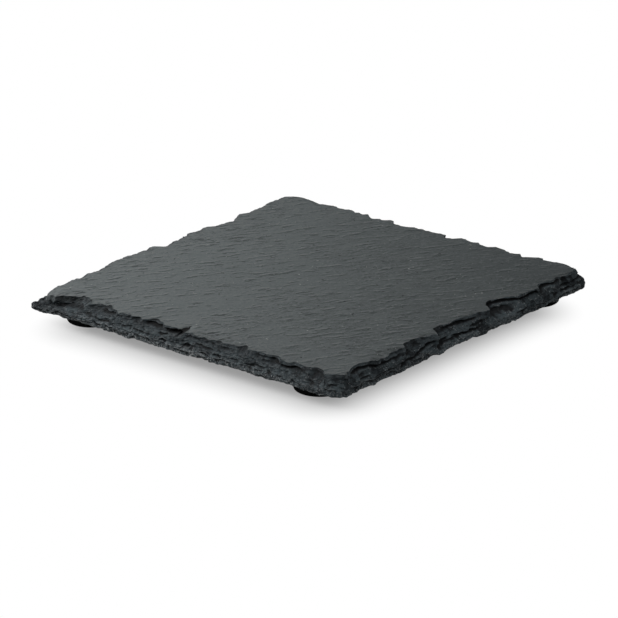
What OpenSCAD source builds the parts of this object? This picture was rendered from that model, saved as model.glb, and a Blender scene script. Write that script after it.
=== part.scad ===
// Square drink coaster: a slab of riven slate with hand-dressed edges, standing on four stick-on feet.
// The origin is on the table under the middle of the slate. X runs along the front edge and Z is up.

/* [Slate] */
// Width of the slate along X, between its widest lines
slate_w = 100; // [80:1:140]
// Depth of the slate along Y, between its widest lines
slate_d = 103; // [80:1:140]
// Thickness of the slate
slate_t = 5.4; // [4:0.1:9]
// Radius of the roundest corners at the lower rim
corner_r = 3.2; // [2:0.1:6]

/* [Dressed edges] */
// How far the front edge leans in from its widest line to its top rim
lean_front = 2.3; // [1:0.1:4]
// How far the right edge leans in
lean_right = 2; // [1:0.1:4]
// How far the back edge leans in
lean_back = 0.6; // [0.2:0.1:4]
// How far the left edge leans in
lean_left = 0.5; // [0.2:0.1:4]
// Depth of the deepest flake scar, on top of the lean
scar_depth = 4; // [1:0.1:5]
// Depth of the small flakes struck off all along the edge
flake_depth = 0.7; // [0.1:0.1:1.2]
// How deep the deepest crevice opens under a lamina
crevice_depth = 1.4; // [0.2:0.1:2]
// How far the lower rim is crushed back under the edge's widest line
undercut = 0.3; // [0.1:0.1:1]
// Depth of the nibbles in each lamina, half of it to either side of the edge's mean line
nibble = 0.6; // [0.05:0.05:0.8]
// How far the front left corner's top rim lies in along the front, its upper laminae broken off over a ledge
broken_in = 1.8; // [0.5:0.1:3]

/* [Feet] */
// Diameter of a foot
foot_dia = 12.7; // [8:0.1:14]
// Height of a foot
foot_h = 2; // [1:0.1:5]
// Radius on a foot's lower edge
foot_round = 0.6; // [0.1:0.1:0.9]
// Distance of a foot's middle from the slate's widest lines, as meant
foot_inset = 10.4; // [10:0.1:16]
// How far a foot can lie from its meant place, having been stuck on by hand
foot_stray = 2.3; // [0:0.1:2.5]

/* [Adhesive] */
// How far the adhesive disc stays inside its foot's rim
adhesive_margin = 0.2; // [0:0.05:0.5]
// Thickness of the adhesive disc
adhesive_t = 0.2; // [0.1:0.05:0.5]

/* [Hidden] */
// Corners of the slate in the order in which a walk round the edge comes to them
CORNERS = ["front_left", "front_right", "back_right", "back_left"];
fine = 96;

// Edges are numbered as the walk comes to them: front, right, back and left.
slate_z = foot_h + adhesive_t;
adhesive_dia = foot_dia - 2 * adhesive_margin;
size = [slate_w, slate_d];
lean = [lean_front, lean_right, lean_back, lean_left];
flush = [0, 0, 0, 0];

// Where each foot was stuck, as shares of the stray along X and Y
stray_shares = [[0.91, -0.61], [-1, -0.87], [0.61, -0.35], [-0.17, 0.17]];
// Roundness of each corner's lower rim and top rim, as shares of corner_r, front right corner first
lower_corner_shares = [1, 1, 1, 0.375];
top_corner_shares = [1.1, 0.7, 2, 0.9];
// How far from the broken corner its ledge and its break tell, as shares of broken_in, the powers of the
// curves by which they fade, and the heights between which the ledge steps in, as shares of the thickness
ledge_reach_share = 6;
break_reach_share = 12;
ledge_power = 2;
break_power = 4;
ledge_shares = [0.36, 0.66];

// Heights of the cleavage planes that part the laminae, as shares of the thickness
plane_shares = [0, 0.17, 0.33, 0.5, 0.67, 0.84, 1];
// How far a plane wanders up and down, and half the rise of the tread along it, as shares of the thickness
wander_share = 0.05;
tread_share = 0.012;
// Height of the edge's widest line, as a share of the thickness
widest_share = 0.3;
// Powers of the curves by which the edge leans in above that line and is crushed below it
lean_power = 1.2;
crush_power = 2;

// Flake scars of each edge: where each starts and ends along the edge, its depth, where along itself it is
// deepest, and the height of its floor. All are shares: of the edge, of scar_depth, of the scar and of
// the thickness. The last scar of an edge stops short of the next corner.
scar_shares = [
    [[0.02, 0.15, 0.9, 0.58, 0.4], [0.11, 0.27, 0.62, 0.45, 0.5], [0.28, 0.37, 0.08, 0.3, 0.4],
     [0.37, 0.485, 0.52, 0.9, 0.66], [0.485, 0.56, 0.14, 0.5, 0.3], [0.56, 0.7, 0.3, 0.7, 0.55],
     [0.72, 0.84, 0.1, 0.4, 0.25], [0.84, 0.95, 0.12, 0.5, 0.45]],
    [[0.03, 0.14, 0.3, 0.6, 0.4], [0.15, 0.235, 0.12, 0.5, 0.1], [0.235, 0.38, 0.42, 0.15, 0.35],
     [0.39, 0.6, 0.58, 0.08, 0.12], [0.6, 0.73, 1, 0.35, 0.4], [0.74, 0.82, 0.12, 0.4, 0.5],
     [0.82, 0.88, 0.26, 0.3, 0.6], [0.89, 0.95, 0.2, 0.5, 0.3]],
    [[0.06, 0.115, 0.26, 0.7, 0.4], [0.125, 0.19, 0.55, 0.8, 0.5], [0.182, 0.245, 0.4, 0.4, 0.3],
     [0.275, 0.34, 0.36, 0.7, 0.45], [0.34, 0.395, 0.3, 0.4, 0.2], [0.395, 0.458, 0.48, 0.8, 0.5],
     [0.55, 0.66, 0.55, 0.6, 0.4], [0.66, 0.745, 0.5, 0.75, 0.3], [0.75, 0.82, 0.16, 0.5, 0.5],
     [0.82, 0.88, 0.24, 0.4, 0.4]],
    [[0.06, 0.12, 0.14, 0.5, 0.4], [0.13, 0.185, 0.3, 0.4, 0.5], [0.2, 0.39, 0.56, 0.22, 0.3],
     [0.4, 0.56, 0.58, 0.85, 0.4], [0.57, 0.65, 0.2, 0.4, 0.2], [0.75, 0.84, 0.12, 0.3, 0.45],
     [0.85, 0.94, 0.08, 0.6, 0.3]]
];
// How far a scar slants along the edge between the widest line and the top rim, as a share of the edge
slant_share = 0.02;

// Crevices that gape under a lamina: the edge, where each starts and ends along it, the plane that it
// follows, its depth and where along itself it is deepest. Depths are shares of crevice_depth.
crevice_shares = [
    [0, 0.03, 0.1, 3, 0.5, 0.4], [0, 0.08, 0.16, 4, 0.4, 0.5], [0, 0.17, 0.29, 3, 0.4, 0.7],
    [0, 0.19, 0.26, 5, 0.4, 0.5], [0, 0.375, 0.482, 5, 0.9, 0.8], [0, 0.44, 0.5, 3, 0.4, 0.4],
    [0, 0.55, 0.63, 4, 0.6, 0.3], [0, 0.74, 0.8, 3, 0.5, 0.6], [0, 0.8, 0.93, 5, 0.6, 0.5],
    [1, 0.015, 0.12, 5, 0.8, 0.5], [1, 0.1, 0.23, 5, 0.7, 0.4], [1, 0.05, 0.1, 3, 0.4, 0.5],
    [1, 0.26, 0.31, 3, 0.9, 0.4], [1, 0.3, 0.37, 4, 1, 0.5], [1, 0.43, 0.56, 3, 0.9, 0.5],
    [1, 0.415, 0.56, 5, 0.8, 0.4], [1, 0.62, 0.78, 5, 1, 0.3], [1, 0.74, 0.93, 5, 0.9, 0.5],
    [1, 0.9, 0.96, 3, 0.8, 0.5], [2, 0.08, 0.16, 4, 0.6, 0.4], [2, 0.22, 0.33, 5, 0.7, 0.6],
    [2, 0.4, 0.47, 3, 0.6, 0.3], [2, 0.5, 0.62, 4, 0.8, 0.5], [2, 0.7, 0.78, 2, 0.5, 0.5],
    [2, 0.83, 0.93, 5, 0.6, 0.4], [3, 0.07, 0.15, 3, 0.5, 0.5], [3, 0.2, 0.36, 5, 0.8, 0.4],
    [3, 0.4, 0.5, 2, 0.6, 0.4], [3, 0.52, 0.6, 4, 0.7, 0.7], [3, 0.68, 0.8, 5, 0.5, 0.3],
    [3, 0.84, 0.93, 3, 0.7, 0.5]
];

// Waves round the whole edge: of the planes' wander, of the treads' sharpness and of the nibbles
wanders = 30;
treads = 44;
nibbles = 150;
// Small flakes along one edge, the least length of one as a share of an even stretch, where along itself
// one is deepest at the earliest and the range of that, and the height of the highest floor as a share
flakes = 23;
flake_length_share = 0.5;
flake_deepest_shares = [0.2, 0.6];
flake_floor_share = 0.7;

// Columns of points along each straight edge and round each corner
edge_columns = 76;
corner_columns = 5;
// Turn from one edge to the next
quarter = 90;
// Each column is [edge, share of the straight stretch, turn of the corner from 0 to 1].
columns = [
    for (e = [0:3], j = [0:edge_columns + corner_columns - 1])
        j < edge_columns ? [e, (j + 0.5) / edge_columns, 0]
                         : [e, 1, (j - edge_columns + 0.5) / corner_columns]
];

// Repeatable number from 0 to 1 for a whole number n
function hash(n) =
    let (x = abs(sin(n * 12.9898 + 78.233)) * 43758.5453)
    x - floor(x);

// Smooth wave from -1 to 1 round the edge, with the given count of hashed heights, which closes on itself
function wave(around, count, seed) =
    let (
        i = floor(around * count),
        f = around * count - i,
        blend = f * f * (3 - 2 * f),
        a = hash(i % count + 977 * seed),
        b = hash((i + 1) % count + 977 * seed)
    )
    2 * (a + (b - a) * blend) - 1;

function along(e) = [cos(quarter * e), sin(quarter * e)];
function outward(turn) = [sin(quarter * turn), -cos(quarter * turn)];

// Half the length of an edge, and its distance from the middle of the slate
function half_length(e) = size[e % 2] / 2;
function reach(e) = size[(e + 1) % 2] / 2;

// Point of a column on a rounded rectangle whose edges are drawn in by inset and whose corners have radii:
// along the edge to the middle of its corner, and from there out to the arc
function rim_point(column, inset, radii) =
    let (
        e = column[0],
        before = (e + 3) % 4,
        after = (e + 1) % 4,
        from = inset[before] + radii[before] - half_length(e),
        to = half_length(e) - inset[after] - radii[e],
        out = reach(e) - inset[e] - radii[e]
    )
    along(e) * (from + (to - from) * column[1]) + outward(e) * out + outward(e + column[2]) * radii[e];

lower_radii = lower_corner_shares * corner_r;
top_radii = top_corner_shares * corner_r;

// Plan outline of a scar at share u of its own length: nothing at both ends, all of its depth at deepest
function scoop(u, deepest) =
    u <= 0 || u >= 1 ? 0
    : u < deepest ? sin(quarter * u / deepest)
    : cos(quarter * (u - deepest) / (1 - deepest));

// How a scar opens from its floor up to the top rim: a shelf that curves up into a steep wall
function opening(v, floor_share) =
    v <= floor_share ? 0 : 1 - pow(1 - (v - floor_share) / (1 - floor_share), 2);

// Depth of the deepest scar at share s of edge e and height share v
function scar(e, s, v) =
    scar_depth * max([for (p = scar_shares[e])
        let (slanted = s + slant_share * (v - 1) * (2 * hash(p[0] * edge_columns) - 1))
        p[2] * scoop((slanted - p[0]) / (p[1] - p[0]), p[3]) * opening(v, p[4])]);

// Depth of the small flakes there, each in a hashed place within its own stretch of the edge
function flake(e, s, v) =
    flake_depth * max([for (j = [floor(s * flakes) - 1, floor(s * flakes)])
        let (
            h = hash(j + e * flakes + 11),
            start = (j + h / 2) / flakes,
            length = (flake_length_share + hash(j + 7 * e)) / flakes,
            strength = pow(hash(j + 31 * e + 5), 2),
            deepest = flake_deepest_shares[0] + flake_deepest_shares[1] * h,
            floor_share = flake_floor_share * hash(j + 13 * e + 3)
        )
        strength * scoop((s - start) / length, deepest) * opening(v, floor_share)]);

// Depth of the crevice that follows a plane there
function crevice(e, s, plane) =
    crevice_depth * max([for (c = crevice_shares)
        c[0] == e && c[3] == plane ? c[4] * scoop((s - c[1]) / (c[2] - c[1]), c[5]) : 0]);

// Lean of the edge at height share v, from 0 at its widest line to 1 at the top rim
function lean_at(v) =
    v < widest_share ? 0 : pow((v - widest_share) / (1 - widest_share), lean_power);

// Lean of the broken corner at height share v: a step between the heights of its ledge
function ledge_at(v) =
    let (f = min(max((v - ledge_shares[0]) / (ledge_shares[1] - ledge_shares[0]), 0), 1))
    f * f * (3 - 2 * f);

// How much the broken corner tells at a point of the lower rim, from 1 at the corner down to 0
function broken_at(low, reach_share, power) =
    exp(-pow(norm(low + size / 2) / (reach_share * broken_in), power));

// Crush of the lower rim at height share v
function crush(v) = v > widest_share ? 0 : undercut * pow(1 - v / widest_share, crush_power);

// Point of column i on lamina k: on its foot where up is 0 and on its head where up is 1. Where the tread is
// sharp, foot and head are drawn in alike, as in a stair. Elsewhere they run on from the laminae beside them.
function edge_point(i, k, up) =
    let (
        around = i / len(columns),
        column = columns[i],
        e = column[0],
        s = column[1],
        plane = k + up,
        bound = plane_shares[plane],
        middle = (plane_shares[k] + plane_shares[k + 1]) / 2,
        smooth = (1 + wave(around, treads, 60 + plane)) / 2,
        v = middle + (bound - middle) * smooth,
        rough = (1 - smooth) * wave(around, nibbles, k) + smooth * wave(around, nibbles, 20 + plane),
        struck = scar(e, s, v) + flake(e, s, v) + (up == 0 ? crevice(e, s, plane) : 0),
        in = crush(v) + nibble / 2 * rough + (column[2] == 0 ? struck : 0),
        low = rim_point(column, flush, lower_radii),
        shift = along(0) * broken_in * broken_at(low, break_reach_share, break_power),
        high = rim_point(column, lean, top_radii) + shift,
        broken = broken_at(low, ledge_reach_share, ledge_power),
        leaning = lean_at(v) * (1 - broken) + ledge_at(v) * broken,
        stray = tread_share * (1 - 2 * up) + wander_share * wave(around, wanders, 40 + plane),
        height = bound + (bound > 0 && bound < 1 ? stray : 0)
    )
    concat(low + (high - low) * leaning - outward(e + column[2]) * in, [slate_z + slate_t * height]);

// Skin of the slate: a closed stack of rings, two to a lamina. Its flat faces below and above fan out from
// their middles, since their outlines aren't convex.
module slate() {
    count = len(columns);
    rings = 2 * (len(plane_shares) - 1);
    last = (rings - 1) * count;
    skin = [for (r = [0:rings - 1], i = [0:count - 1]) edge_point(i, floor(r / 2), r % 2)];
    middles = [[0, 0, slate_z], [0, 0, slate_z + slate_t]];
    walls = [
        for (r = [0:rings - 2], i = [0:count - 1])
            let (a = r * count + i, b = r * count + (i + 1) % count)
            each [[a, a + count, b + count], [a, b + count, b]]
    ];
    underside = [for (i = [0:count - 1]) [i, (i + 1) % count, len(skin)]];
    top_face = [for (i = [0:count - 1]) [last + (i + 1) % count, last + i, len(skin) + 1]];
    color([0.34, 0.36, 0.36])
        polyhedron(concat(skin, middles), concat(walls, underside, top_face), convexity = 10);
}

// Middle of the foot at corner c
function foot_place(c) =
    let (side = [c == 0 || c == 3 ? -1 : 1, c < 2 ? -1 : 1])
    [for (a = [0, 1]) side[a] * (size[a] / 2 - foot_inset) + foot_stray * stray_shares[c][a]];

// Soft moulded disc with its lower edge rounded
module foot(c) {
    r = foot_dia / 2;
    color([0.02, 0.02, 0.02]) translate(foot_place(c)) {
        cylinder(h = foot_h, r = r - foot_round, $fn = fine);
        translate([0, 0, foot_round]) cylinder(h = foot_h - foot_round, r = r, $fn = fine);
        rotate_extrude($fn = fine) translate([r - foot_round, foot_round]) circle(r = foot_round, $fn = fine);
    }
}

// Die-cut adhesive disc between a foot and the slate
module adhesive(c) {
    color([0.75, 0.75, 0.7]) translate(concat(foot_place(c), [foot_h]))
        cylinder(h = adhesive_t, d = adhesive_dia, $fn = fine);
}

slate();
for (c = [0:3]) {
    foot(c);
    adhesive(c);
}
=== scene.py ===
import bpy
import numpy as np
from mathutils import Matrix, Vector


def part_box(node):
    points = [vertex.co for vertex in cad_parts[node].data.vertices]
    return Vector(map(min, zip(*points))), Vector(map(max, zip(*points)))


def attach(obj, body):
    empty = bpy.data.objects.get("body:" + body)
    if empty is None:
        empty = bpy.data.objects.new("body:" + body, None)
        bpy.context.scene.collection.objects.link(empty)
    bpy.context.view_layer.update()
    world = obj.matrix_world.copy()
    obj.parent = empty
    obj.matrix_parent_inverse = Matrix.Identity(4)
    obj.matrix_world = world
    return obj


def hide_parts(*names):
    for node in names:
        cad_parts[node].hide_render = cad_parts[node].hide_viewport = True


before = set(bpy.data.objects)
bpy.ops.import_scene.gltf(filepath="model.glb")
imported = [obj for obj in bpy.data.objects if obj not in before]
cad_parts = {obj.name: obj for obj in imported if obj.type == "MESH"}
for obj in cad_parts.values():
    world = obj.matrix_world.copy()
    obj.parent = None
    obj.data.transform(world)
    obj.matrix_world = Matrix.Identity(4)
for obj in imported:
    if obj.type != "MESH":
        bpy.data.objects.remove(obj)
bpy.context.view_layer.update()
MM = 0.001

# The slate: one slab riven by hand from a block along its cleavage, then dressed to a square with a
# bladed tool. The blows fall on its underside, so they crush the lower rim and strike flakes off the
# upper one, which leaves the edge leaning in, full of small steps and cracked under its laminae.
slate_low, slate_high = (np.array(corner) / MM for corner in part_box("slate"))
slate_size = slate_high - slate_low
slate_t = slate_size[2]
side_length = np.array([slate_size[0], slate_size[1], slate_size[0], slate_size[1]])
side_reach = np.array([slate_size[1], slate_size[0], slate_size[1], slate_size[0]]) / 2

# Sides are numbered front, right, back and left, and corners follow their side.
lean = np.array([2.3, 2.0, 0.6, 0.5])
corner_r = np.array([3.2, 3.2, 3.2, 1.2])
top_corner_r = np.array([3.5, 2.2, 5.0, 2.9])
widest_share = 0.3
slant_share = 0.02
scar_depth = 4.0
flake_depth = 0.7
crevice_depth = 1.4
crevice_t = 0.9
# Powers of the curves by which the edge leans in above its widest line and is crushed below it
lean_power = 1.2
crush_power = 2
# By side: how coarse the breakage is, how far the lower rim is crushed, and the shares of nicks in the top
# rim and of notches in the lower one. The mean depth of the finer chips is taken off them again.
coarseness = [0.35, 1.0, 0.8, 0.6]
crush_depth = [0.1, 0.25, 0.3, 0.2]
nick_share = [0.8, 0.25, 1, 1]
notch_share = [1, 0.5, 0.8, 1]
mean_chip = 0.45

# Scars of each side: start, end, depth, deepest point and floor. Crevices: side, start, end, height at
# either end, depth and deepest point. Places along a side, heights and depths are shares.
scar_shares = [
    [[0.02, 0.15, 0.9, 0.58, 0.4], [0.11, 0.27, 0.62, 0.45, 0.5], [0.28, 0.37, 0.08, 0.3, 0.4],
     [0.355, 0.44, 0.5, 0.5, 0.62], [0.43, 0.51, 0.3, 0.6, 0.8], [0.485, 0.56, 0.14, 0.5, 0.3],
     [0.56, 0.7, 0.3, 0.7, 0.55], [0.68, 0.725, 0.42, 0.6, 0.6], [0.72, 0.84, 0.1, 0.4, 0.25],
     [0.785, 0.84, 0.36, 0.6, 0.6], [0.84, 0.95, 0.12, 0.5, 0.45], [0.93, 0.99, 0.36, 0.6, 0.55]],
    [[0, 0.13, 0.44, 0.4, 0.4], [0.15, 0.235, 0.12, 0.5, 0.1], [0.235, 0.38, 0.42, 0.15, 0.35],
     [0.375, 0.6, 0.6, 0.08, 0.12], [0.6, 0.73, 1, 0.35, 0.4], [0.74, 0.82, 0.12, 0.4, 0.5],
     [0.82, 0.88, 0.42, 0.3, 0.6], [0.89, 0.95, 0.2, 0.5, 0.3]],
    [[0.06, 0.115, 0.26, 0.7, 0.4], [0.125, 0.19, 0.55, 0.68, 0.5], [0.182, 0.245, 0.4, 0.4, 0.3],
     [0.275, 0.34, 0.36, 0.7, 0.45], [0.34, 0.395, 0.3, 0.4, 0.2], [0.395, 0.458, 0.48, 0.68, 0.5],
     [0.55, 0.66, 0.55, 0.6, 0.4], [0.66, 0.745, 0.5, 0.65, 0.3], [0.75, 0.82, 0.16, 0.5, 0.5],
     [0.82, 0.88, 0.24, 0.4, 0.4]],
    [[0.06, 0.12, 0.14, 0.5, 0.4], [0.13, 0.185, 0.3, 0.4, 0.5], [0.17, 0.39, 0.46, 0.36, 0.3],
     [0.4, 0.56, 0.58, 0.85, 0.4], [0.57, 0.65, 0.2, 0.4, 0.2], [0.75, 0.84, 0.12, 0.3, 0.45],
     [0.85, 0.94, 0.08, 0.6, 0.3]],
]
crevice_shares = [
    [0, 0.03, 0.1, 0.55, 0.62, 0.3, 0.4], [0, 0.08, 0.16, 0.72, 0.76, 0.2, 0.5],
    [0, 0.17, 0.29, 0.5, 0.5, 0.5, 0.7], [0, 0.19, 0.26, 0.86, 0.88, 0.5, 0.5],
    [0, 0.36, 0.43, 0.88, 0.86, 0.9, 0.5], [0, 0.434, 0.502, 0.88, 0.95, 2.2, 0.6],
    [0, 0.437, 0.498, 0.78, 0.87, 2.2, 0.6], [0, 0.425, 0.46, 0.6, 0.72, 1.1, 0.6],
    [0, 0.55, 0.63, 0.67, 0.7, 0.6, 0.3], [0, 0.74, 0.8, 0.5, 0.55, 0.5, 0.6],
    [0, 0.8, 0.93, 0.86, 0.9, 0.7, 0.5], [1, 0.015, 0.12, 0.88, 0.86, 1, 0.5],
    [1, 0.1, 0.23, 0.82, 0.88, 0.9, 0.4], [1, 0.05, 0.1, 0.45, 0.5, 0.5, 0.5],
    [1, 0.26, 0.37, 0.38, 0.82, 1.3, 0.5], [1, 0.43, 0.56, 0.5, 0.46, 1.2, 0.5],
    [1, 0.415, 0.56, 0.9, 0.92, 1, 0.4], [1, 0.62, 0.78, 0.92, 0.9, 1.3, 0.3],
    [1, 0.74, 0.93, 0.88, 0.92, 1.2, 0.5], [1, 0.9, 0.96, 0.4, 0.6, 1, 0.5],
    [2, 0.08, 0.16, 0.7, 0.66, 0.6, 0.4], [2, 0.22, 0.33, 0.84, 0.88, 0.9, 0.6],
    [2, 0.4, 0.47, 0.4, 0.5, 0.8, 0.3], [2, 0.5, 0.62, 0.72, 0.66, 1, 0.5],
    [2, 0.7, 0.78, 0.3, 0.42, 0.8, 0.5], [2, 0.83, 0.93, 0.84, 0.86, 0.6, 0.4],
    [3, 0.07, 0.15, 0.5, 0.56, 0.5, 0.5], [3, 0.2, 0.36, 0.86, 0.88, 0.8, 0.4],
    [3, 0.4, 0.5, 0.38, 0.3, 0.6, 0.4], [3, 0.52, 0.6, 0.66, 0.72, 0.8, 0.7],
    [3, 0.68, 0.8, 0.84, 0.86, 0.6, 0.3], [3, 0.84, 0.93, 0.5, 0.46, 0.7, 0.5],
]


def hashed(n):
    """Repeatable number from 0 to 1 for each whole number n: what is left of a large multiple of a sine."""
    x = np.abs(np.sin(np.radians(n * 12.9898 + 78.233))) * 43758.5453
    return x - np.floor(x)


def eased(f):
    """From 0 to 1 with level ends: three times f squared less twice f cubed."""
    return f * f * (3 - 2 * f)


def noise(x, y, seed, count=None):
    """Noise from -1 to 1 over a plane: hashed heights at its whole points, eased in both directions. It
    comes round again after count steps in x."""
    i, j = np.floor(x), np.floor(y)
    across, up = eased(x - i), eased(y - j)
    first, second = (i, i + 1) if count is None else (i % count, (i + 1) % count)

    def height(a, b):
        return hashed(a * 57 + b * 131 + seed * 1009)

    near = height(first, j) * (1 - across) + height(second, j) * across
    far = height(first, j + 1) * (1 - across) + height(second, j + 1) * across
    return 2 * (near * (1 - up) + far * up) - 1


def scoop(u, deepest):
    """Plan of a scar along its length u: a quarter sine up to the deepest point and a quarter cosine down."""
    u = np.clip(u, 0, 1)
    rise = np.sin(np.pi / 2 * u / deepest)
    fall = np.cos(np.pi / 2 * (u - deepest) / (1 - deepest))
    return np.where(u < deepest, rise, fall)


def opening(v, floor_share):
    """Profile of a scar up the edge: nothing below its floor, then one less the square of what is left."""
    left = np.clip((1 - v) / (1 - floor_share), 0, 1)
    return 1 - left**2


def outward(turn):
    """Plan direction at a count of quarter turns from the front: sine and less the cosine of the angle."""
    return np.stack([np.sin(turn * np.pi / 2), -np.cos(turn * np.pi / 2)], axis=-1)


def rim_columns(count):
    """Side, share along it and turn of its corner, for count columns a side at even steps along the rim."""
    side = np.repeat(np.arange(4), count)
    first_arc, last_arc = corner_r[(side - 1) % 4] * np.pi / 2, corner_r[side] * np.pi / 2
    straight = side_length[side] - corner_r[(side - 1) % 4] - corner_r[side]
    run = np.tile(np.arange(count) / count, 4) * (first_arc / 2 + straight + last_arc / 2)
    past = run - first_arc / 2
    before, after = past < 0, past > straight
    share = np.where(before | after, 1, past / straight)
    turn = np.where(before, 0.5 + run / first_arc, np.where(after, (past - straight) / last_arc, 0))
    return np.where(before, (side - 1) % 4, side), share, turn


def rim_point(side, share, turn, inset, radii):
    """Rounded rectangle drawn in by inset a side: along the side to its corner's middle, then round it."""
    start = inset[(side - 1) % 4] + radii[(side - 1) % 4] - side_length[side] / 2
    stop = side_length[side] / 2 - inset[(side + 1) % 4] - radii[side]
    run = (start + (stop - start) * share)[:, None]
    out = (side_reach[side] - inset[side] - radii[side])[:, None]
    return outward(side + 1) * run + outward(side) * out + outward(side + turn) * radii[side][:, None]


def scars(side, share, v):
    """Depth of the deepest large scar: its depth times its plan along the side times its profile up it."""
    cut = np.zeros(v.shape)
    for s, rows in enumerate(scar_shares):
        for start, end, depth, deepest, floor_share in rows:
            slant = slant_share * (v - 1) * (2 * hashed(start * 76) - 1)
            plan = scoop((share + slant - start) / (end - start), deepest)
            cut = np.maximum(cut, (side == s) * depth * plan * opening(v, floor_share))
    return scar_depth * cut


def flakes(side, share, v, per_side=23):
    """Depth of the smaller flakes, one in a hashed place in each of per_side stretches of a side."""
    cut = np.zeros(v.shape)
    for back in (1, 0):
        j = np.floor(share * per_side) - back
        h = hashed(j + side * per_side + 11)
        place = (share * per_side - j - h / 2) / (0.5 + hashed(j + 7 * side))
        floor_share = 0.7 * hashed(j + 13 * side + 3)
        plan = scoop(place, 0.2 + 0.6 * h)
        cut = np.maximum(cut, hashed(j + 31 * side + 5) ** 2 * plan * opening(v, floor_share))
    return flake_depth * cut


def crevices(side, share, z, stray):
    """Depth of the cracks that follow the cleavage: each is deepest just under the lamina that overhangs
    it, which strays by some height, and closes evenly below that."""
    cut = np.zeros(z.shape)
    for s, start, end, first, last, depth, deepest in crevice_shares:
        along = (share - start) / (end - start)
        below = (first + (last - first) * along) * slate_t + stray - z
        profile = np.clip(below / 0.12, 0, 1) * np.clip(1 - below / crevice_t, 0, 1)
        plan = scoop(along, deepest)
        cut = np.maximum(cut, (side == s) * depth * plan * profile)
    return crevice_depth * cut


def chips(around, z, length, tall, seed):
    """Share of full depth of the chips of one size, one in a hashed place in each cell of length by tall
    round the edge. A chip deepens evenly from its foot up to its head, where a lamina stops it short."""
    count = round(perimeter / length)
    warp = 0.3 * noise(around * count * 1.3, z / tall * 2, seed + 1, round(count * 1.3))
    x, y = around * count + warp, z / tall + warp * 0.6
    cut = np.zeros(z.shape)
    for across in (-1, 0, 1):
        for up in (-1, 0, 1):
            i, j = np.floor(x) + across, np.floor(y) + up
            n = (i % count) * 89 + j * 23 + seed * 5003
            reach = 0.45 + 0.55 * hashed(n + 1)
            u = (x - i - hashed(n)) / reach
            w = (j + hashed(n + 2) - y) / (0.6 + hashed(n + 3))
            profile = np.clip(w * 7, 0, 1) * np.clip(1 - w, 0, 1)
            cut = np.maximum(cut, hashed(n + 4) * np.sqrt(np.clip(1 - u * u, 0, 1)) * profile)
    return cut


def by_side(values, around):
    """Value at a place round the edge, between the values in the middles of the four sides."""
    return np.interp(around, np.arange(-1, 5) / 4 + 0.125, np.take(values, [3, 0, 1, 2, 3, 0]))


def edge_inset(side, share, turn, around, v):
    """How far the blows have driven the edge in: the crushed lower rim, the large scars and the flakes,
    then chips of four sizes, lumps, grit, ticks near the lower rim and nicks in the upper one. The chips
    are coarser on the sides that broke in larger pieces, and their mean depth is taken off again."""
    z = v * slate_t
    straight = turn == 0
    coarse = by_side(coarseness, around)
    crush = by_side(crush_depth, around) * np.clip(1 - v / widest_share, 0, 1) ** crush_power
    struck = straight * (scars(side, share, v) + flakes(side, share, v))
    large = 1.2 * coarse * chips(around, z, 8.0, 2.8, 1)
    middle = 0.95 * (1.3 - 0.7 * coarse) * chips(around, z, 3.4, 1.5, 2)
    spared = 0.35 + 0.65 * np.clip(v / 0.4, 0, 1)
    small = 0.5 * (1.3 - coarse) * spared * chips(around, z, 1.6, 0.8, 3)
    least = 0.28 * (1.3 - coarse) * spared * chips(around, z, 0.8, 0.4, 4)
    lumps = 0.14 * noise(around * 330, z / 0.9, 7, 330)
    grit = 0.08 * noise(around * 900, z / 0.35, 8, 900)
    ticks = 0.25 * (1.2 - coarse) * noise(around * 700, z / 1.6, 9, 700) * np.clip(1 - v / 0.45, 0, 1)
    nicks = 0.45 * np.maximum(noise(around * 210, 0 * z, 12, 210), 0)
    nicks = nicks + 0.2 * noise(around * 480, 0 * z, 13, 480)
    nicks = nicks * np.clip((v - 0.8) / 0.2, 0, 1) * by_side(nick_share, around)
    return crush + struck + large + middle + small + least + lumps + grit + ticks + nicks - mean_chip


# The riven faces. Their grain runs at an angle across the slab.
grain_angle = np.radians(58)
swell = 0.07
ripple = 0.035
step_height = 0.05
peel_depth = 0.2
peel_ramp = 0.35
second_peel = 3.5
most_peeled = 2.5
# Thin laminae that have peeled off beside the top rim: side, start, end, width in mm and deepest point
peel_shares = [
    [0, 0.06, 0.14, 7.2, 0.6], [0, 0.14, 0.27, 4.6, 0.4], [0, 0.475, 0.52, 4.8, 0.12],
    [0, 0.5, 0.71, 3.8, 0.45], [0, 0.78, 0.86, 1.2, 0.5],
    [1, 0.14, 0.27, 2.8, 0.6], [1, 0.3, 0.42, 1.8, 0.7], [1, 0.46, 0.6, 2.2, 0.4], [1, 0.88, 0.96, 1.3, 0.5],
    [2, 0.2, 0.3, 1.5, 0.4], [2, 0.45, 0.56, 2.4, 0.6], [2, 0.84, 0.93, 1.8, 0.4],
    [3, 0.1, 0.2, 1.6, 0.5], [3, 0.36, 0.47, 2.6, 0.4], [3, 0.72, 0.8, 2, 0.6],
]


def riven(x, y, seed):
    """Depth below a riven face's highest level: a slow swell, ripples drawn out along the grain and low
    steps between laminae, where slower noise is rounded down to whole levels with a short ramp."""
    along = x * np.cos(grain_angle) + y * np.sin(grain_angle)
    across = y * np.cos(grain_angle) - x * np.sin(grain_angle)
    slow = swell * noise(x / 34, y / 34, seed)
    ripples = noise(along / 11, across / 2.3, seed + 1) + 0.6 * noise(along / 5, across / 1.2, seed + 2)
    level = 1.6 * noise(along / 24, across / 9, seed + 3) + 0.9 * noise(along / 9, across / 3.1, seed + 4)
    steps = np.floor(level) + np.clip((level - np.floor(level) - 0.86) / 0.14, 0, 1)
    highest = swell + 2 * ripple + 1.6 * step_height
    return np.maximum(highest - slow - ripple * ripples - step_height * steps, 0)


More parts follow.
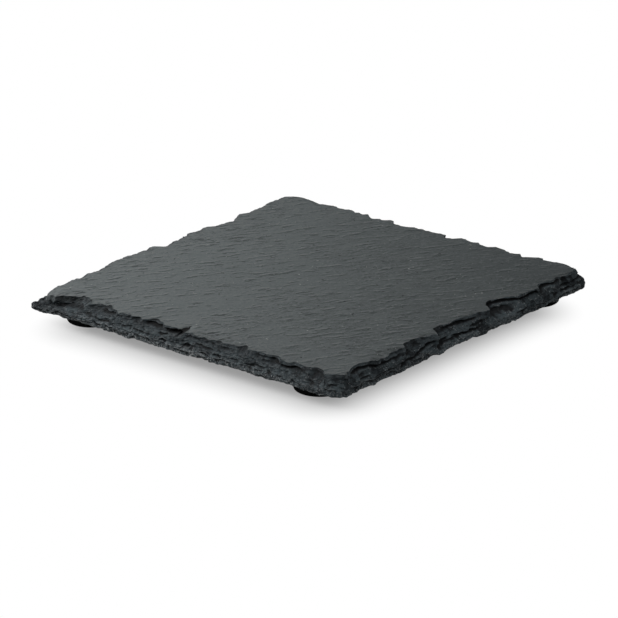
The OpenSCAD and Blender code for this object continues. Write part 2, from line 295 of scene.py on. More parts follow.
def peels(xy):
    """Count of thin laminae that have come off beside the top rim: one inside each ragged plan and a second
    one deeper in it, each with a short ramp at its rim."""
    x, y = xy[..., 0], xy[..., 1]
    cut = np.zeros(x.shape)
    for side, start, end, width, deepest in peel_shares:
        share = (xy @ outward(side + 1)) / side_length[side] + 0.5
        inward = side_reach[side] - lean[side] - xy @ outward(side)
        ragged = width * (1 + 0.35 * noise(x / 1.1, y / 1.1, 60 + side) + 0.25 * noise(x / 3, y / 3, 70))
        ramps = (ragged * scoop((share - start) / (end - start), deepest) - inward) / peel_ramp
        cut = cut + np.clip(ramps, 0, 1) + np.clip(ramps - second_peel, 0, 1)
    return np.minimum(cut, most_peeled)


def stitched(outer, inner):
    """Triangles between a ring of points and one with half as many: three to each point of the inner."""
    a, b, c = outer[0::2], outer[1::2], np.roll(outer[0::2], -1)
    near, far = inner, np.roll(inner, -1)
    return np.concatenate([np.stack(t, axis=-1) for t in ((a, b, near), (b, far, near), (b, c, far))])


def filled(ring, smooth_ring):
    """Grid inside a closed ring of points: the smooth ring's opposite sides blended across one another,
    and what the ring strays from it faded out over the first fifth of the way in."""
    n = len(ring) // 4
    a = np.linspace(0, 1, n + 1)[:, None, None]
    b = np.linspace(0, 1, n + 1)[None, :, None]

    def blended(points, left, right, near, far):
        closed = np.concatenate([points, points[:1]])
        front, right_side = closed[: n + 1][:, None], closed[n : 2 * n + 1][None]
        back, left_side = closed[2 * n : 3 * n + 1][::-1][:, None], closed[3 * n :][::-1][None]
        sides = near * front + far * back + left * left_side + right * right_side
        near_corners = left * points[0] + right * points[n]
        far_corners = right * points[2 * n] + left * points[3 * n]
        return sides - near * near_corners - far * far_corners

    fade = [np.clip(1 - t / 0.2, 0, 1) ** 2 for t in (a, 1 - a, b, 1 - b)]
    return blended(smooth_ring, 1 - a, a, 1 - b, b) + blended(ring - smooth_ring, *fade)


def grid_ring(index):
    """The rim of a grid of point numbers, walked round from its first corner along its front side."""
    return np.concatenate([index[:-1, 0], index[-1, :-1], index[:0:-1, -1], index[0, :0:-1]])


def mesh_from(name, points, quads, triangles, smooth):
    """Mesh from points in mm and whole arrays of faces; smooth says which faces are shaded smooth."""
    mesh = bpy.data.meshes.new(name)
    mesh.vertices.add(len(points))
    mesh.vertices.foreach_set("co", (points * MM).astype(np.float32).ravel())
    corners = np.concatenate([quads.ravel(), triangles.ravel()]).astype(np.int32)
    mesh.loops.add(len(corners))
    mesh.loops.foreach_set("vertex_index", corners)
    starts = np.concatenate([np.arange(len(quads)) * 4, quads.size + np.arange(len(triangles)) * 3])
    mesh.polygons.add(len(starts))
    mesh.polygons.foreach_set("loop_start", starts.astype(np.int32))
    mesh.update(calc_edges=True)
    mesh.polygons.foreach_set("use_smooth", smooth)
    return mesh


def piece_from(name, mesh, node, material):
    """Object at the origin that rides on the part, stands for its CAD node and takes its material slot."""
    piece = bpy.data.objects.new(name, mesh)
    bpy.context.scene.collection.objects.link(piece)
    mesh.materials.append(material)
    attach(piece, "root")
    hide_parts(node)
    return piece


columns_per_side = 352
row_count = 39
side, share, turn = rim_columns(columns_per_side)
columns = len(side)
around = np.arange(columns) / columns
lower = rim_point(side, share, turn, np.zeros(4), corner_r)
upper = rim_point(side, share, turn, lean, top_corner_r)
# The front left corner is broken: the top rim stands in towards the right there
broken_in = 1.8
break_reach = 21.6
from_corner = np.linalg.norm(lower - lower[0], axis=1)
upper = upper + outward(1) * broken_in * np.exp(-((from_corner / break_reach)[:, None] ** 4))
broken_tip = upper[0]
perimeter = np.sum(np.linalg.norm(lower - np.roll(lower, 1, axis=0), axis=1))
facing = outward(side + turn)
top_z, bottom_z = slate_high[2], slate_low[2]

# What the tip of the broken corner has lost in height, and how far that reaches
tip_drop = 1.1
tip_reach = 2.6
# The adhesive discs press on the underside, so it is level over them and for a little way round.
level_r = 6.6
level_fade = 2
foot_nodes = [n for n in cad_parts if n.startswith("foot_")]
foot_middles = [np.mean(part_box(n), axis=0)[:2] / MM for n in foot_nodes]


def top_height(xy):
    """Height of the top face: its highest level less the riven relief, the peeled laminae and what the
    tip of the broken corner has lost."""
    blunt = tip_drop * np.exp(-((np.linalg.norm(xy - broken_tip, axis=-1) / tip_reach) ** 2))
    return top_z - riven(xy[..., 0], xy[..., 1], 10) - peel_depth * peels(xy) - blunt


def bottom_height(xy):
    """Height of the underside: its lowest level and the riven relief, which fades out over the feet."""
    clear = np.min([np.linalg.norm(xy - middle, axis=-1) for middle in foot_middles], axis=0)
    return bottom_z + 1.4 * riven(xy[..., 0], xy[..., 1], 30) * np.clip((clear - level_r) / level_fade, 0, 1)


# The edge: a skin of rows from the lower rim to the top one, each leaned in and driven in by the blows
up = np.linspace(0, 1, row_count)[:, None] * np.ones(columns)
stray = 0.25 * noise(around * 60, 0 * around, 5, 60) + 0.12 * noise(around * 220, 0 * around, 6, 220)
cracks = (turn == 0) * crevices(side, share, up * slate_t, stray)
insets = edge_inset(side, share, turn, around * np.ones_like(up), up) + cracks
leaning = np.clip((up - widest_share) / (1 - widest_share), 0, 1) ** lean_power
# The broken corner has lost its upper laminae: a rough ledge at half height, then a short riser
ledge_reach = 10.8
broken_corner = np.exp(-((from_corner / ledge_reach) ** 2))
leaning = leaning * (1 - broken_corner) + eased(np.clip((up - 0.36) / 0.42, 0, 1)) * broken_corner
# The back right corner's upper laminae end short of its lower ones
short_by = 1.3
short_reach = 5
far_corner = lower[2 * columns_per_side]
short_end = short_by * np.exp(-((np.linalg.norm(lower - far_corner, axis=1) / short_reach) ** 2))
insets = insets + short_end * opening(up, 0.45)
plans = lower + (upper - lower) * leaning[..., None] - facing * insets[..., None]
# The lower rim is chipped upwards in small nibbles and larger notches
chipped = 0.3 * np.maximum(noise(around * 260, 0 * around, 11, 260), 0)
notches = np.maximum(noise(around * 124, 0 * around, 14, 124), 0) ** 0.6
chipped = chipped + 0.85 * notches * by_side(notch_share, around)
low_z = bottom_height(plans[0]) + chipped
edge_z = low_z + (top_height(plans[-1]) - low_z) * up
# The ledge is rough in two sizes and lies a little low
rough_z = 0.4 * noise(plans[..., 0] / 1.3, plans[..., 1] / 1.3, 41) - 0.5
rough_z = rough_z + 0.25 * noise(plans[..., 0] / 0.5, plans[..., 1] / 0.5, 42)
edge_z = edge_z + broken_corner * rough_z * np.clip(4 * up * (1 - up), 0, 1)
points = [np.concatenate([plans, edge_z[..., None]], axis=-1).reshape(-1, 3)]
number = np.arange(row_count * columns).reshape(row_count, columns)
after = np.roll(number, -1, axis=1)
quads = [np.stack([number[:-1], after[:-1], after[1:], number[1:]], axis=-1).reshape(-1, 4)]
triangles = []
smooth_quads = [np.zeros(len(quads[0]), bool)]


# Step and corner radius of the even ring that a face's grid is laid in
level_inset = 1.5
level_corner_r = 3.2


def close_face(first_ring, ring, z_at, step_in, upwards, halvings):
    """Closes one flat face: the ring of points halves inwards step by step, and a grid fills the rest."""
    plan = first_ring
    numbers = ring
    at = np.arange(columns)
    for step in range(halvings):
        at = at[::2]
        plan = plan[::2] - facing[at] * step_in * (step + 1)
        if step == halvings - 1:
            break
        new = sum(len(p) for p in points) + np.arange(len(plan))
        points.append(np.concatenate([plan, z_at(plan)[:, None]], axis=-1))
        faces = stitched(numbers, new)
        triangles.append(faces if upwards else faces[:, ::-1])
        numbers = new
    inset = lean if upwards else np.zeros(4)
    level = rim_point(side[at], share[at], turn[at], inset + level_inset, np.full(4, level_corner_r))
    grid = filled(plan, level)
    index = sum(len(p) for p in points) + np.arange(grid.shape[0] * grid.shape[1]).reshape(grid.shape[:2])
    points.append(np.concatenate([grid, z_at(grid)[..., None]], axis=-1).reshape(-1, 3))
    faces = stitched(numbers, grid_ring(index))
    triangles.append(faces if upwards else faces[:, ::-1])
    cells = np.stack([index[:-1, :-1], index[1:, :-1], index[1:, 1:], index[:-1, 1:]], axis=-1).reshape(-1, 4)
    quads.append(cells if upwards else cells[:, ::-1])
    smooth_quads.append(np.ones(len(cells), bool))


close_face(plans[-1], number[-1], top_height, step_in=0.3, upwards=True, halvings=1)
close_face(plans[0], number[0], bottom_height, step_in=0.5, upwards=False, halvings=2)
smooth_triangles = [np.ones(len(t), bool) for t in triangles]
slate_mesh = mesh_from(
    "slate", np.concatenate(points), np.concatenate(quads), np.concatenate(triangles),
    np.concatenate(smooth_quads + smooth_triangles))


def around_mean(depths, wide, tall):
    """Mean of each depth and its neighbours, wide columns to either side and tall rows up and down."""
    rows = np.mean([np.roll(depths, k, axis=1) for k in range(-wide, wide + 1)], axis=0)
    padded = np.pad(rows, ((tall, tall), (0, 0)), mode="edge")
    return np.mean([padded[k : k + len(rows)] for k in range(2 * tall + 1)], axis=0)


# How far each point of the edge stands proud of its neighbours, which is where the stone is bruised, and
# how far it lies back among them, which is painted dark as painted shade, as are its cracks
near_mean = around_mean(insets, 2, 2)
wide_mean = around_mean(insets, 5, 5)
broad_mean = around_mean(insets, 14, 9)
struck = np.zeros(len(slate_mesh.vertices), np.float32)
bruise, painted_shade, fineness = np.zeros_like(struck), np.zeros_like(struck), np.zeros_like(struck)
struck[: insets.size] = (1 - 0.55 * broken_corner * np.clip(3 * up - 1.8, 0, 1)).ravel()
fine = 1.25 - by_side(coarseness, around)
# Round the broken corner the stone is worn, so its marks are softer, and the edge is made darker there
worn = np.exp(-((from_corner / 26) ** 2))
corner_darkening = 0.26 * np.exp(-((from_corner / 34) ** 4))
low_share = 0.25 + np.clip(1.6 - 3 * up, 0, 0.75)
proud = np.clip((near_mean - insets) / 0.16, 0, 1)
bruise[: insets.size] = (proud * fine * low_share * (1 - 0.4 * worn)).ravel()
ledge = broken_corner * 4 * up * (1 - up)
# The painted shade gathers where the edge lies back among its neighbours, in broader sunk places and in
# cracks. It also plainly darkens the ledge and the edge round the broken corner
sunk = np.clip((insets - broad_mean) / 0.9, 0, 0.6) * (1 - broken_corner) * (1.1 - 0.4 * fine)
lying_back = (insets - wide_mean) / (0.13 + 0.3 * fine) * (1 - 0.75 * broken_corner)
in_crack = np.clip(cracks / 1.5, 0, 0.8)
shaded = np.clip(lying_back + in_crack + sunk + 0.1 * ledge + 0.22 * broken_corner + corner_darkening, 0, 1)
# Light reaches the upper part of the leaning front, apart from its cracks, and the lowest part
open_top = 1 - 0.6 * fine * np.clip((up - 0.45) / 0.25, 0, 1) * np.clip(1 - 4 * cracks, 0, 1)
painted_shade[: insets.size] = (shaded * open_top * np.clip(0.3 + up / 0.35, 0, 1)).ravel()
fineness[: insets.size] = (fine * (1 - 0.35 * worn) * np.ones_like(up)).ravel()
on_top = np.arange(insets.size, insets.size + len(points[1]))
# The short ramps at the rims of the peeled laminae get painted shade too, as dark lines
riser = peels(points[1][:, :2]) % 1
painted_shade[on_top] = 2.4 * riser * (1 - riser)
for name, values in (("struck", struck), ("bruise", bruise), ("painted_shade", painted_shade), ("fine", fineness)):
    slate_mesh.attributes.new(name, "FLOAT", "POINT").data.foreach_set("value", values)


class Sum:
    """A shader socket on which plain arithmetic adds Math nodes to its material."""

    def __init__(self, tree, socket):
        self.tree = tree
        self.socket = socket

    def math(self, operation, *values):
        """Outcome of a Math node on these values."""
        return self.tree.node("Math", {"operation": operation}, dict(enumerate(values)))

    def __add__(self, other):
        return self.math("ADD", self, other)

    def __sub__(self, other):
        return self.math("SUBTRACT", self, other)

    def __rsub__(self, other):
        return self.math("SUBTRACT", other, self)

    def __mul__(self, other):
        return self.math("MULTIPLY", self, other)

    __radd__ = __add__
    __rmul__ = __mul__


class Finish:
    """A material under construction, with its nodes made by one method."""

    def __init__(self, name):
        self.material = bpy.data.materials.new(name)
        self.material.use_nodes = True
        self.nodes = self.material.node_tree.nodes
        self.links = self.material.node_tree.links
        self.nodes.clear()

    def node(self, kind, settings=None, values=None, output=None):
        """Node of a kind: its settings are set first, then the values or links of its sockets. It gives
        the output named, or else its first."""
        made = self.nodes.new("ShaderNode" + kind)
        for name, value in (settings or {}).items():
            setattr(made, name, value)
        for key, value in (values or {}).items():
            shown = [s for s in made.inputs if s.enabled]
            socket = shown[key] if isinstance(key, int) else next(s for s in shown if s.name == key)
            if isinstance(value, Sum):
                self.links.new(value.socket, socket)
            else:
                socket.default_value = value
        shown = {s.name: s for s in made.outputs if s.enabled}
        return Sum(self, shown.get(output) or next(iter(shown.values()), None))

    def mix(self, first, second, share):
        """Mix of two colours by a share."""
        settings = {"data_type": "RGBA", "clamp_factor": True}
        return self.node("Mix", settings, {"Factor": share, "A": first, "B": second})

    def places(self):
        """Object coordinates in mm."""
        place = self.node("TexCoord", output="Object")
        return self.node("VectorMath", {"operation": "SCALE"}, {"Vector": place, "Scale": 1 / MM})

    def toward(self, place, direction):
        """How far a place lies in a direction."""
        return self.node("VectorMath", {"operation": "DOT_PRODUCT"}, {0: place, 1: direction}, "Value")

    def point(self, x, y, z):
        """Place from its three parts."""
        return self.node("CombineXYZ", None, {0: x, 1: y, 2: z})

    def ramp(self, value, low, high):
        """Value carried from low..high to 0..1 with level ends."""
        return self.node("MapRange", {"interpolation_type": "SMOOTHSTEP"},
                         {"Value": value, "From Min": low, "From Max": high})

    def grainy(self, place, scale, detail=3.0, roughness=0.5):
        """Noise from 0 to 1 with scale features to a unit."""
        return self.node("TexNoise", None,
                         {"Vector": place, "Scale": scale, "Detail": detail, "Roughness": roughness})

    def surface(self, **values):
        """Ends the material with a Principled surface whose sockets have these values."""
        named = {name.replace("_", " "): value for name, value in values.items()}
        shader = self.node("BsdfPrincipled", None, named)
        self.node("OutputMaterial", None, {"Surface": shader})
        return self.material

    def bump(self, height):
        """Normals for a height given in mm."""
        return self.node("Bump", None, {"Height": height, "Distance": MM, "Strength": 1.0})


def rgb(red, green, blue):
    """Colour with full cover, from its three linear parts."""
    return (red, green, blue, 1.0)


def slate_finish():
    """Riven slate with fine steps along its grain, and its dressed edge darker, bruised and dusty."""
    m = Finish("riven_slate")
    place = m.places()
    grain = (np.cos(grain_angle), np.sin(grain_angle), 0.0)
    cross = (-np.sin(grain_angle), np.cos(grain_angle), 0.0)
    along = m.toward(place, grain)
    across = m.toward(place, cross)
    across = across + (m.grainy(place, 0.32, 2, 0.5) - 0.5) * 1.8
    depth = m.node("SeparateXYZ", None, {0: place}, "Z")
    falloff_axis = m.toward(place, (0.8, 0.6, 0.0))
    # Places drawn out along the grain by differing amounts, and on the edge flattened or stood on end
    long_place = m.point(along * 0.11, across * 0.8, depth * 0.5)
    short_place = m.point(along * 0.19, across, depth)
    lit_place = m.point(along * 0.19, across - 0.75, depth)
    crack_place = m.point(along * 0.13, across * 0.8, depth + 9)
    scale_place = m.point(along * 0.035, across * 0.14, depth * 0.2 + 4)
    flat_place = m.node("VectorMath", {"operation": "MULTIPLY"}, {0: place, 1: (0.35, 0.35, 3.0)})
    tall_place = m.node("VectorMath", {"operation": "MULTIPLY"}, {0: place, 1: (1.8, 1.8, 0.5)})
    struck = m.node("Attribute", {"attribute_name": "struck"}, output="Fac")
    bruised = m.node("Attribute", {"attribute_name": "bruise"}, output="Fac")
    painted_shade = m.node("Attribute", {"attribute_name": "painted_shade"}, output="Fac")
    fine = m.node("Attribute", {"attribute_name": "fine"}, output="Fac")

    # Marks of the riven faces: clouds and patches, streaks, short dashes of painted step shadow with a
    # painted highlight on a lip beside each, low steps between laminae with painted shade and highlight, hair
    # cracks, speckle, grit, pits and painted glints of mica
    cloudy = m.grainy(place, 0.045, 4)
    patchy = m.grainy(place, 0.12, 3)
    clusters = m.ramp(patchy, 0.3, 0.7)
    streaks = m.grainy(long_place, 1.0, 5, 0.6)
    shadowed_dashes = m.ramp(m.grainy(short_place, 1.0, 3, 0.6), 0.585, 0.61)
    lip_highlights = m.ramp(m.grainy(lit_place, 1.0, 3, 0.6), 0.585, 0.61)
    level = m.grainy(scale_place, 1.0, 5, 0.58) * 9
    level = level.math("FRACT", level)
    shown = m.ramp(streaks, 0.44, 0.54)
    # Painted shade on the risers of the low steps and painted highlight on their brinks
    riser_shadows = m.ramp(level, 0.22, 0.03) * shown
    brink_highlights = m.ramp(level, 0.84, 0.98) * shown
    ridge = m.grainy(crack_place, 1.0, 4, 0.6) - 0.5
    # A crack shaped like a thin lens runs in from the front rim behind a loosened lamina, and under that
    # lamina gapes a lens-shaped gap; both are painted near black as painted shade. Middles and half sizes are
    # in mm.
    crack_across, crack_along = (0.972, 0.236, 0.0), (-0.236, 0.972, 0.0)
    crack_at_across, crack_at_along = -12.55, -45.3
    crack_half_width, crack_half_length = 0.42, 2.4
    gap_middle = (-3.0, -48.0, 6.923)
    gap_half = (2.5, 3.333, 0.3846)
    ragged = m.grainy(place, 1.2, 2, 0.5) - 0.5
    beside = m.toward(place, crack_across)
    ahead = m.toward(place, crack_along)
    beside = (beside - crack_at_across + ragged) * (1 / crack_half_width)
    ahead = (ahead - crack_at_along) * (1 / crack_half_length)
    fissure_shade = m.ramp(beside * beside + ahead * ahead, 1.0, 0.7)
    shrink = tuple(1 / h for h in gap_half)
    shift = tuple(-c / h for c, h in zip(gap_middle, gap_half))
    gap_shade = m.node("VectorMath", {"operation": "MULTIPLY_ADD"}, {0: place, 1: shrink, 2: shift})
    gap_shade = m.ramp(m.node("VectorMath", {"operation": "LENGTH"}, {0: gap_shade}, "Value"), 1.0, 0.75)
    cracks = m.ramp(ridge * ridge, 0.0005, 0.0)
    speckle = m.grainy(place, 1.4, 3, 0.7)
    grit = m.grainy(place, 5.0, 2, 0.7)
    pits = m.ramp(m.grainy(place, 0.9, 1, 0.3), 0.76, 0.79)
    mica_glints = m.ramp(m.grainy(place, 1.3, 1, 0.3), 0.785, 0.81)

    face = m.mix(rgb(0.123, 0.138, 0.139), rgb(0.135, 0.149, 0.15), m.ramp(cloudy, 0.35, 0.65))
    # Painted falloff of the light from the front left: the face is painted darker towards the right back
    # corner, and its painted dashes and lips weaken there
    painted_falloff = m.ramp(falloff_axis, -50, 80)
    face = m.mix(face, rgb(0.05, 0.058, 0.06), painted_falloff * 0.92)
    face = m.mix(face, rgb(0.09, 0.098, 0.11), m.ramp(patchy, 0.55, 0.8) * 0.2)
    face = m.mix(face, rgb(0.15, 0.162, 0.162), m.ramp(streaks, 0.52, 0.72) * 0.3)
    face = m.mix(face, rgb(0.05, 0.06, 0.061), m.ramp(streaks, 0.48, 0.3) * 0.15)
    face = m.mix(face, rgb(0.2, 0.215, 0.215), brink_highlights * 0.2)
    face = m.mix(face, rgb(0.016, 0.023, 0.024), riser_shadows * 0.25)
    face = m.mix(face, rgb(0.22, 0.235, 0.235), lip_highlights * (clusters * 0.1 + 0.32 - painted_falloff * 0.1))
    face = m.mix(face, rgb(0.01, 0.017, 0.018), shadowed_dashes * (clusters * 0.1 + 0.58 - painted_falloff * 0.22))
    face = m.mix(face, rgb(0.012, 0.018, 0.019), cracks * m.ramp(cloudy, 0.45, 0.6) * 0.6)
    face = m.mix(face, rgb(0.19, 0.205, 0.205), m.ramp(speckle, 0.53, 0.72) * 0.4)
    face = m.mix(face, rgb(0.035, 0.042, 0.043), m.ramp(speckle, 0.46, 0.3) * 0.42)
    face = m.mix(face, rgb(0.01, 0.012, 0.013), pits * 0.8)
    # Bright painted glints of mica
    face = m.mix(face, rgb(0.4, 0.41, 0.4), mica_glints * 0.65)

    # Marks of the dressed edge: layers, crumbled stone, smooth places, holes painted dark as shade, facets of
    # random tone that also paint their light and shade, and arrises painted bright, pale crushed stone and
    # painted highlight.
    # Towards the lower rim the stone is bruised paler, and towards the top it is painted darker as shade
    # under the top rim.
    layers = m.grainy(flat_place, 1.0, 4, 0.6)
    broken = m.grainy(place, 1.1, 4, 0.65)
    smooth = m.grainy(place, 0.5, 2, 0.4)
    shaded_holes = m.grainy(place, 1.5, 2, 0.5)
    specks = m.ramp(m.grainy(place, 2.3, 2, 0.5), 0.5, 0.6)
    # Facets some 4 mm long and 2 mm high, their outlines bent by the finer breakage
    warp = m.point(broken * 0.6, layers * 0.6, broken * 0.4)
    facet_scale = (0.24, 0.24, 0.5)
    facet_place = m.node("VectorMath", {"operation": "MULTIPLY_ADD"}, {0: place, 1: facet_scale, 2: warp})
    facets = m.node("TexVoronoi", {"feature": "F1"}, {"Vector": facet_place, "Scale": 1.0}, "Color")
    facets = m.node("SeparateXYZ", None, {0: facets}, "X")
    arris_highlight = m.node("TexVoronoi", {"feature": "DISTANCE_TO_EDGE"}, {"Vector": facet_place, "Scale": 1.0})
    # The facets' random tone also stands in for the light and shade that each facet catches
    tone = m.ramp(broken, 0.38, 0.62) * fine + m.ramp(facets, 0.2, 0.8) * (1.3 - fine)
    edge = m.mix(rgb(0.006, 0.01, 0.013), rgb(0.06, 0.077, 0.085), tone * (1.08 - fine * 0.34))
    edge = m.mix(edge, rgb(0.06, 0.08, 0.088), m.ramp(smooth, 0.53, 0.6) * 0.6)
    # Arrises painted bright: pale crushed stone and painted highlight
    edge = m.mix(edge, rgb(0.42, 0.435, 0.44), m.ramp(arris_highlight, 0.04, 0.0) * specks * (1 - fine))
    edge = m.mix(edge, rgb(0.009, 0.012, 0.015), m.ramp(layers, 0.5, 0.35) * 0.5)
    edge = m.mix(edge, rgb(0.003, 0.004, 0.005), m.ramp(shaded_holes, 0.43, 0.37) * (fine * 0.6 + 0.25))
    # Painted shade under the top rim: the edge darkens towards the top
    edge = m.mix(edge, rgb(0.006, 0.008, 0.01), m.ramp(depth, 4.2, 7.0) * (fine * 0.38 + 0.12))
    low = m.ramp(depth, 5.0, 3.0) * fine + m.ramp(depth, 3.4, 2.5) * (1 - fine)
    ticks = m.ramp(m.grainy(tall_place, 1.0, 3, 0.6), 0.43, 0.55) * low
    edge = m.mix(edge, rgb(0.13, 0.143, 0.147), m.ramp(depth, 3.8, 2.4) * fine * 0.2)
    edge = m.mix(edge, rgb(0.46, 0.475, 0.48), ticks * specks * 0.75)
    edge = m.mix(edge, rgb(0.24, 0.255, 0.26), bruised * m.ramp(grit, 0.36, 0.56) * 0.9)

    colour = m.mix(face, edge, struck)
    # Painted shade for the edge's hollows and cracks and for the peel risers, with the plainer darkening
    # round the broken corner, mixed towards near black
    colour = m.mix(colour, rgb(0.002, 0.0025, 0.003), painted_shade * 0.95)
    colour = m.mix(colour, rgb(0.001, 0.0013, 0.0015), fissure_shade)
    colour = m.mix(colour, rgb(0.001, 0.0013, 0.0015), gap_shade)
    face_height = level * 0.01 + shadowed_dashes * -0.02 + streaks * 0.05 + speckle * 0.03 + grit * 0.012
    edge_height = layers * 0.12 + broken * (fine * 0.1 + 0.03) + facets * (1 - fine) * 0.3
    edge_height = edge_height + grit * (fine * 0.03 + 0.01)
    height = face_height * (1 - struck) + edge_height * struck
    rough = 0.6 + grit * 0.1 + struck * 0.1
    return m.surface(Base_Color=colour, Roughness=rough, Specular_IOR_Level=0.2, Normal=m.bump(height))


piece_from("slate_slab", slate_mesh, "slate", slate_finish())

# The adhesive discs: pressure-sensitive film, die-cut a little smaller than the feet that they carry.
# Their rims bulge where the feet have been pressed home.
turns = 96


def lathe(name, profile, middle):
    """Closed solid of revolution: each profile point, given as radius and height, carried round a circle,
    with a fan of triangles at either end."""
    angle = np.arange(turns) / turns * 2 * np.pi
    r, z = np.array(profile).T
    ring = np.stack([
        middle[0] + r[:, None] * np.cos(angle),
        middle[1] + r[:, None] * np.sin(angle),
        np.broadcast_to(z[:, None], (len(r), turns)),
    ], axis=-1)
    number = np.arange(len(r) * turns).reshape(len(r), turns)
    after = np.roll(number, -1, axis=1)
    quads = np.stack([number[:-1], after[:-1], after[1:], number[1:]], axis=-1).reshape(-1, 4)
    low, high = len(r) * turns, len(r) * turns + 1
    ends = np.array([[*middle, z[0]], [*middle, z[-1]]])
    caps = np.concatenate([
        np.stack([after[0], number[0], np.full(turns, low)], axis=-1),
        np.stack([number[-1], after[-1], np.full(turns, high)], axis=-1),
    ])
    points = np.concatenate([ring.reshape(-1, 3), ends])
    return mesh_from(name, points, quads, caps, np.ones(len(quads) + len(caps), bool))


def adhesive_finish():
    """Milky acrylic film with faint clouding."""
    m = Finish("adhesive_film")
    place = m.places()
    cloud = m.grainy(place, 0.8, 3)
    colour = m.mix(rgb(0.5, 0.49, 0.43), rgb(0.66, 0.64, 0.57), m.ramp(cloud, 0.3, 0.7))
    return m.surface(Base_Color=colour, Roughness=0.3 + cloud * 0.2, Normal=m.bump(cloud * 0.02))


film = adhesive_finish()
for node in [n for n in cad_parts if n.startswith("adhesive_")]:
    low, high = (np.array(corner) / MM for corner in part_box(node))
    r = (high[0] - low[0]) / 2
    t = high[2] - low[2]
    bulge = t * np.sin(np.linspace(0, np.pi, 7))
    profile = [(r / 2, low[2])] + [
        (r - t + b, low[2] + t * k / 6) for k, b in enumerate(bulge)] + [(r / 2, high[2])]
    mesh = lathe(node, profile, (low + high)[:2] / 2)
    piece_from(node + "_film", mesh, node, film)

# The feet: soft black rubber bumpers, moulded with a rounded lower edge and a shallow dimple under the
# middle, and stuck on by hand at the corners.


def rubber_finish():
    """Black rubber with a fine moulded grain, scuffed to grey here and there."""
    m = Finish("foot_rubber")
    place = m.places()
    grain = m.grainy(place, 6.0, 2, 0.6)
    scuff = m.ramp(m.grainy(place, 0.9, 4, 0.65), 0.55, 0.8)
    colour = m.mix(rgb(0.002, 0.002, 0.002), rgb(0.008, 0.008, 0.009), scuff)
    rough = 0.6 + grain * 0.2
    return m.surface(Base_Color=colour, Roughness=rough, Specular_IOR_Level=0.1, Normal=m.bump(grain * 0.03))


rubber = rubber_finish()
foot_round = 0.6
top_round = 0.12
dimple_r = 2.2
dimple_depth = 0.15
dimple = [(dimple_r * k / 8, dimple_depth * (1 + np.cos(np.pi * k / 8)) / 2) for k in range(1, 9)]
for node in foot_nodes:
    low, high = (np.array(corner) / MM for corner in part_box(node))
    r = (high[0] - low[0]) / 2
    bends = np.linspace(0, np.pi / 2, 9)
    lower_bend = [(r - foot_round * (1 - np.sin(q)), foot_round * (1 - np.cos(q))) for q in bends]
    shoulder = high[2] - top_round
    upper_bend = [(r - top_round * (1 - np.cos(q)), shoulder + top_round * np.sin(q)) for q in bends[::2]]
    profile = dimple + [((dimple_r + r) / 2, 0)] + lower_bend + upper_bend + [(r / 2, high[2])]
    mesh = lathe(node, profile, (low + high)[:2] / 2)
    piece_from(node + "_bumper", mesh, node, rubber)

# The floor: a wide white table, which the camera sees as white with the slate's soft shadow on it.


def floor_finish():
    """White for the camera, with part of its light its own so that only shadows show, and otherwise grey.
    Near the slate the real shadow shows over a painted shadow, which fades out evenly past a rounded square
    shifted from under the slate towards its front right."""
    m = Finish("studio_floor")
    seen = m.node("LightPath", output="Is Camera Ray")
    rounding = 14.0
    shadow_shift = (-5.0, 8.0, 0.0)
    fade_from, fade_to = -13, 5.5
    half = (slate_size[0] / 2 - rounding, slate_size[1] / 2 - rounding, 0.0)
    moved = m.node("VectorMath", {"operation": "ADD"}, {0: m.places(), 1: shadow_shift})
    folded = m.node("VectorMath", {"operation": "ABSOLUTE"}, {0: moved})
    past = m.node("VectorMath", {"operation": "SUBTRACT"}, {0: folded, 1: half})
    past = m.node("VectorMath", {"operation": "MAXIMUM"}, {0: past, 1: (0.0, 0.0, 0.0)})
    away = m.node("VectorMath", {"operation": "LENGTH"}, {0: past}, "Value") - rounding
    lit = m.node("BsdfDiffuse", None, {"Color": rgb(0.6, 0.6, 0.6)})
    shown = m.node("BsdfDiffuse", None, {"Color": rgb(0.3, 0.3, 0.3)})
    glow = m.node("Emission", None, {"Color": rgb(1, 1, 1), "Strength": 0.3})
    white = m.node("Emission", None, {"Color": rgb(1, 1, 1), "Strength": 1.0})
    both = m.node("AddShader", None, {0: shown, 1: glow})
    faded = m.node("MixShader", None, {"Fac": m.ramp(away, fade_from, fade_to), 1: both, 2: white})
    surface = m.node("MixShader", None, {"Fac": seen, 1: lit, 2: faded})
    m.node("OutputMaterial", None, {"Surface": surface})
    return m.material


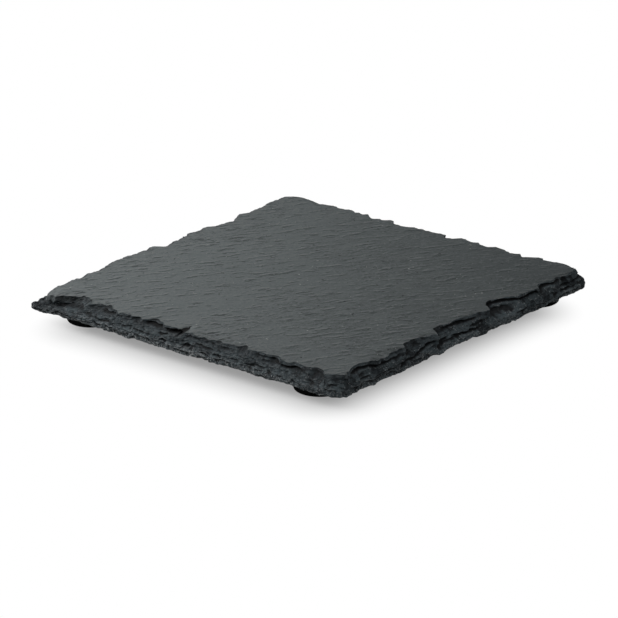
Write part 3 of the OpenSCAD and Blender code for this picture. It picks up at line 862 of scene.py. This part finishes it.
floor_size = 3.0
floor_mesh = bpy.data.meshes.new("floor")
h = floor_size / 2
floor_mesh.from_pydata([(-h, -h, 0), (h, -h, 0), (h, h, 0), (-h, h, 0)], [], [(0, 1, 2, 3)])
floor_mesh.materials.append(floor_finish())
floor = bpy.data.objects.new("floor", floor_mesh)
bpy.context.scene.collection.objects.link(floor)

# The studio: a pale surround, a wide lamp overhead, a close one on the left of the picture and a weak one
# on its right.
world = bpy.data.worlds.new("studio")
bpy.context.scene.world = world
world.use_nodes = True
world.node_tree.nodes["Background"].inputs["Color"].default_value = rgb(1, 1, 1)
world.node_tree.nodes["Background"].inputs["Strength"].default_value = 0.12


def lamp(name, place, size, power):
    """Square soft lamp at a place in metres, facing the part."""
    light = bpy.data.lights.new(name, "AREA")
    light.shape = "SQUARE"
    light.size = size
    light.energy = power
    holder = bpy.data.objects.new(name, light)
    bpy.context.scene.collection.objects.link(holder)
    holder.location = place
    x, y, z = place
    holder.rotation_euler = (np.arctan2(np.hypot(x, y), z), 0, np.arctan2(x, -y))


lamp("key", (-0.22, -0.12, 0.21), 0.3, 1.0)
lamp("overhead", (-0.1, 0.3, 0.8), 1.1, 1.6)
lamp("fill", (0.45, -0.1, 0.35), 0.4, 0.45)

# The camera: a long lens from in front of the near corner, about twenty degrees above the table.
azimuth = np.radians(39.189)
elevation = np.radians(19.945)
distance = 0.8462
frame_width = 618
focal_px = 3300
shift_right = -0.000646
shift_up = -0.00057
aim = np.array([-0.0004, 0.0001, 0.0])
camera_back = np.array([
    np.sin(azimuth) * np.cos(elevation), -np.cos(azimuth) * np.cos(elevation), np.sin(elevation)])
camera_right = np.array([np.cos(azimuth), np.sin(azimuth), 0.0])
camera_up = np.cross(camera_back, camera_right)
camera_data = bpy.data.cameras.new("camera")
camera_data.sensor_width = 36.0
camera_data.lens = focal_px / frame_width * camera_data.sensor_width
camera_data.clip_start = 0.01
camera_data.clip_end = 20.0
camera = bpy.data.objects.new("camera", camera_data)
camera.location = aim + camera_back * distance + camera_right * shift_right + camera_up * shift_up
camera.rotation_euler = (np.pi / 2 - elevation, 0, azimuth)
bpy.context.scene.collection.objects.link(camera)
bpy.context.scene.camera = camera
bpy.context.scene.view_settings.view_transform = "Standard"
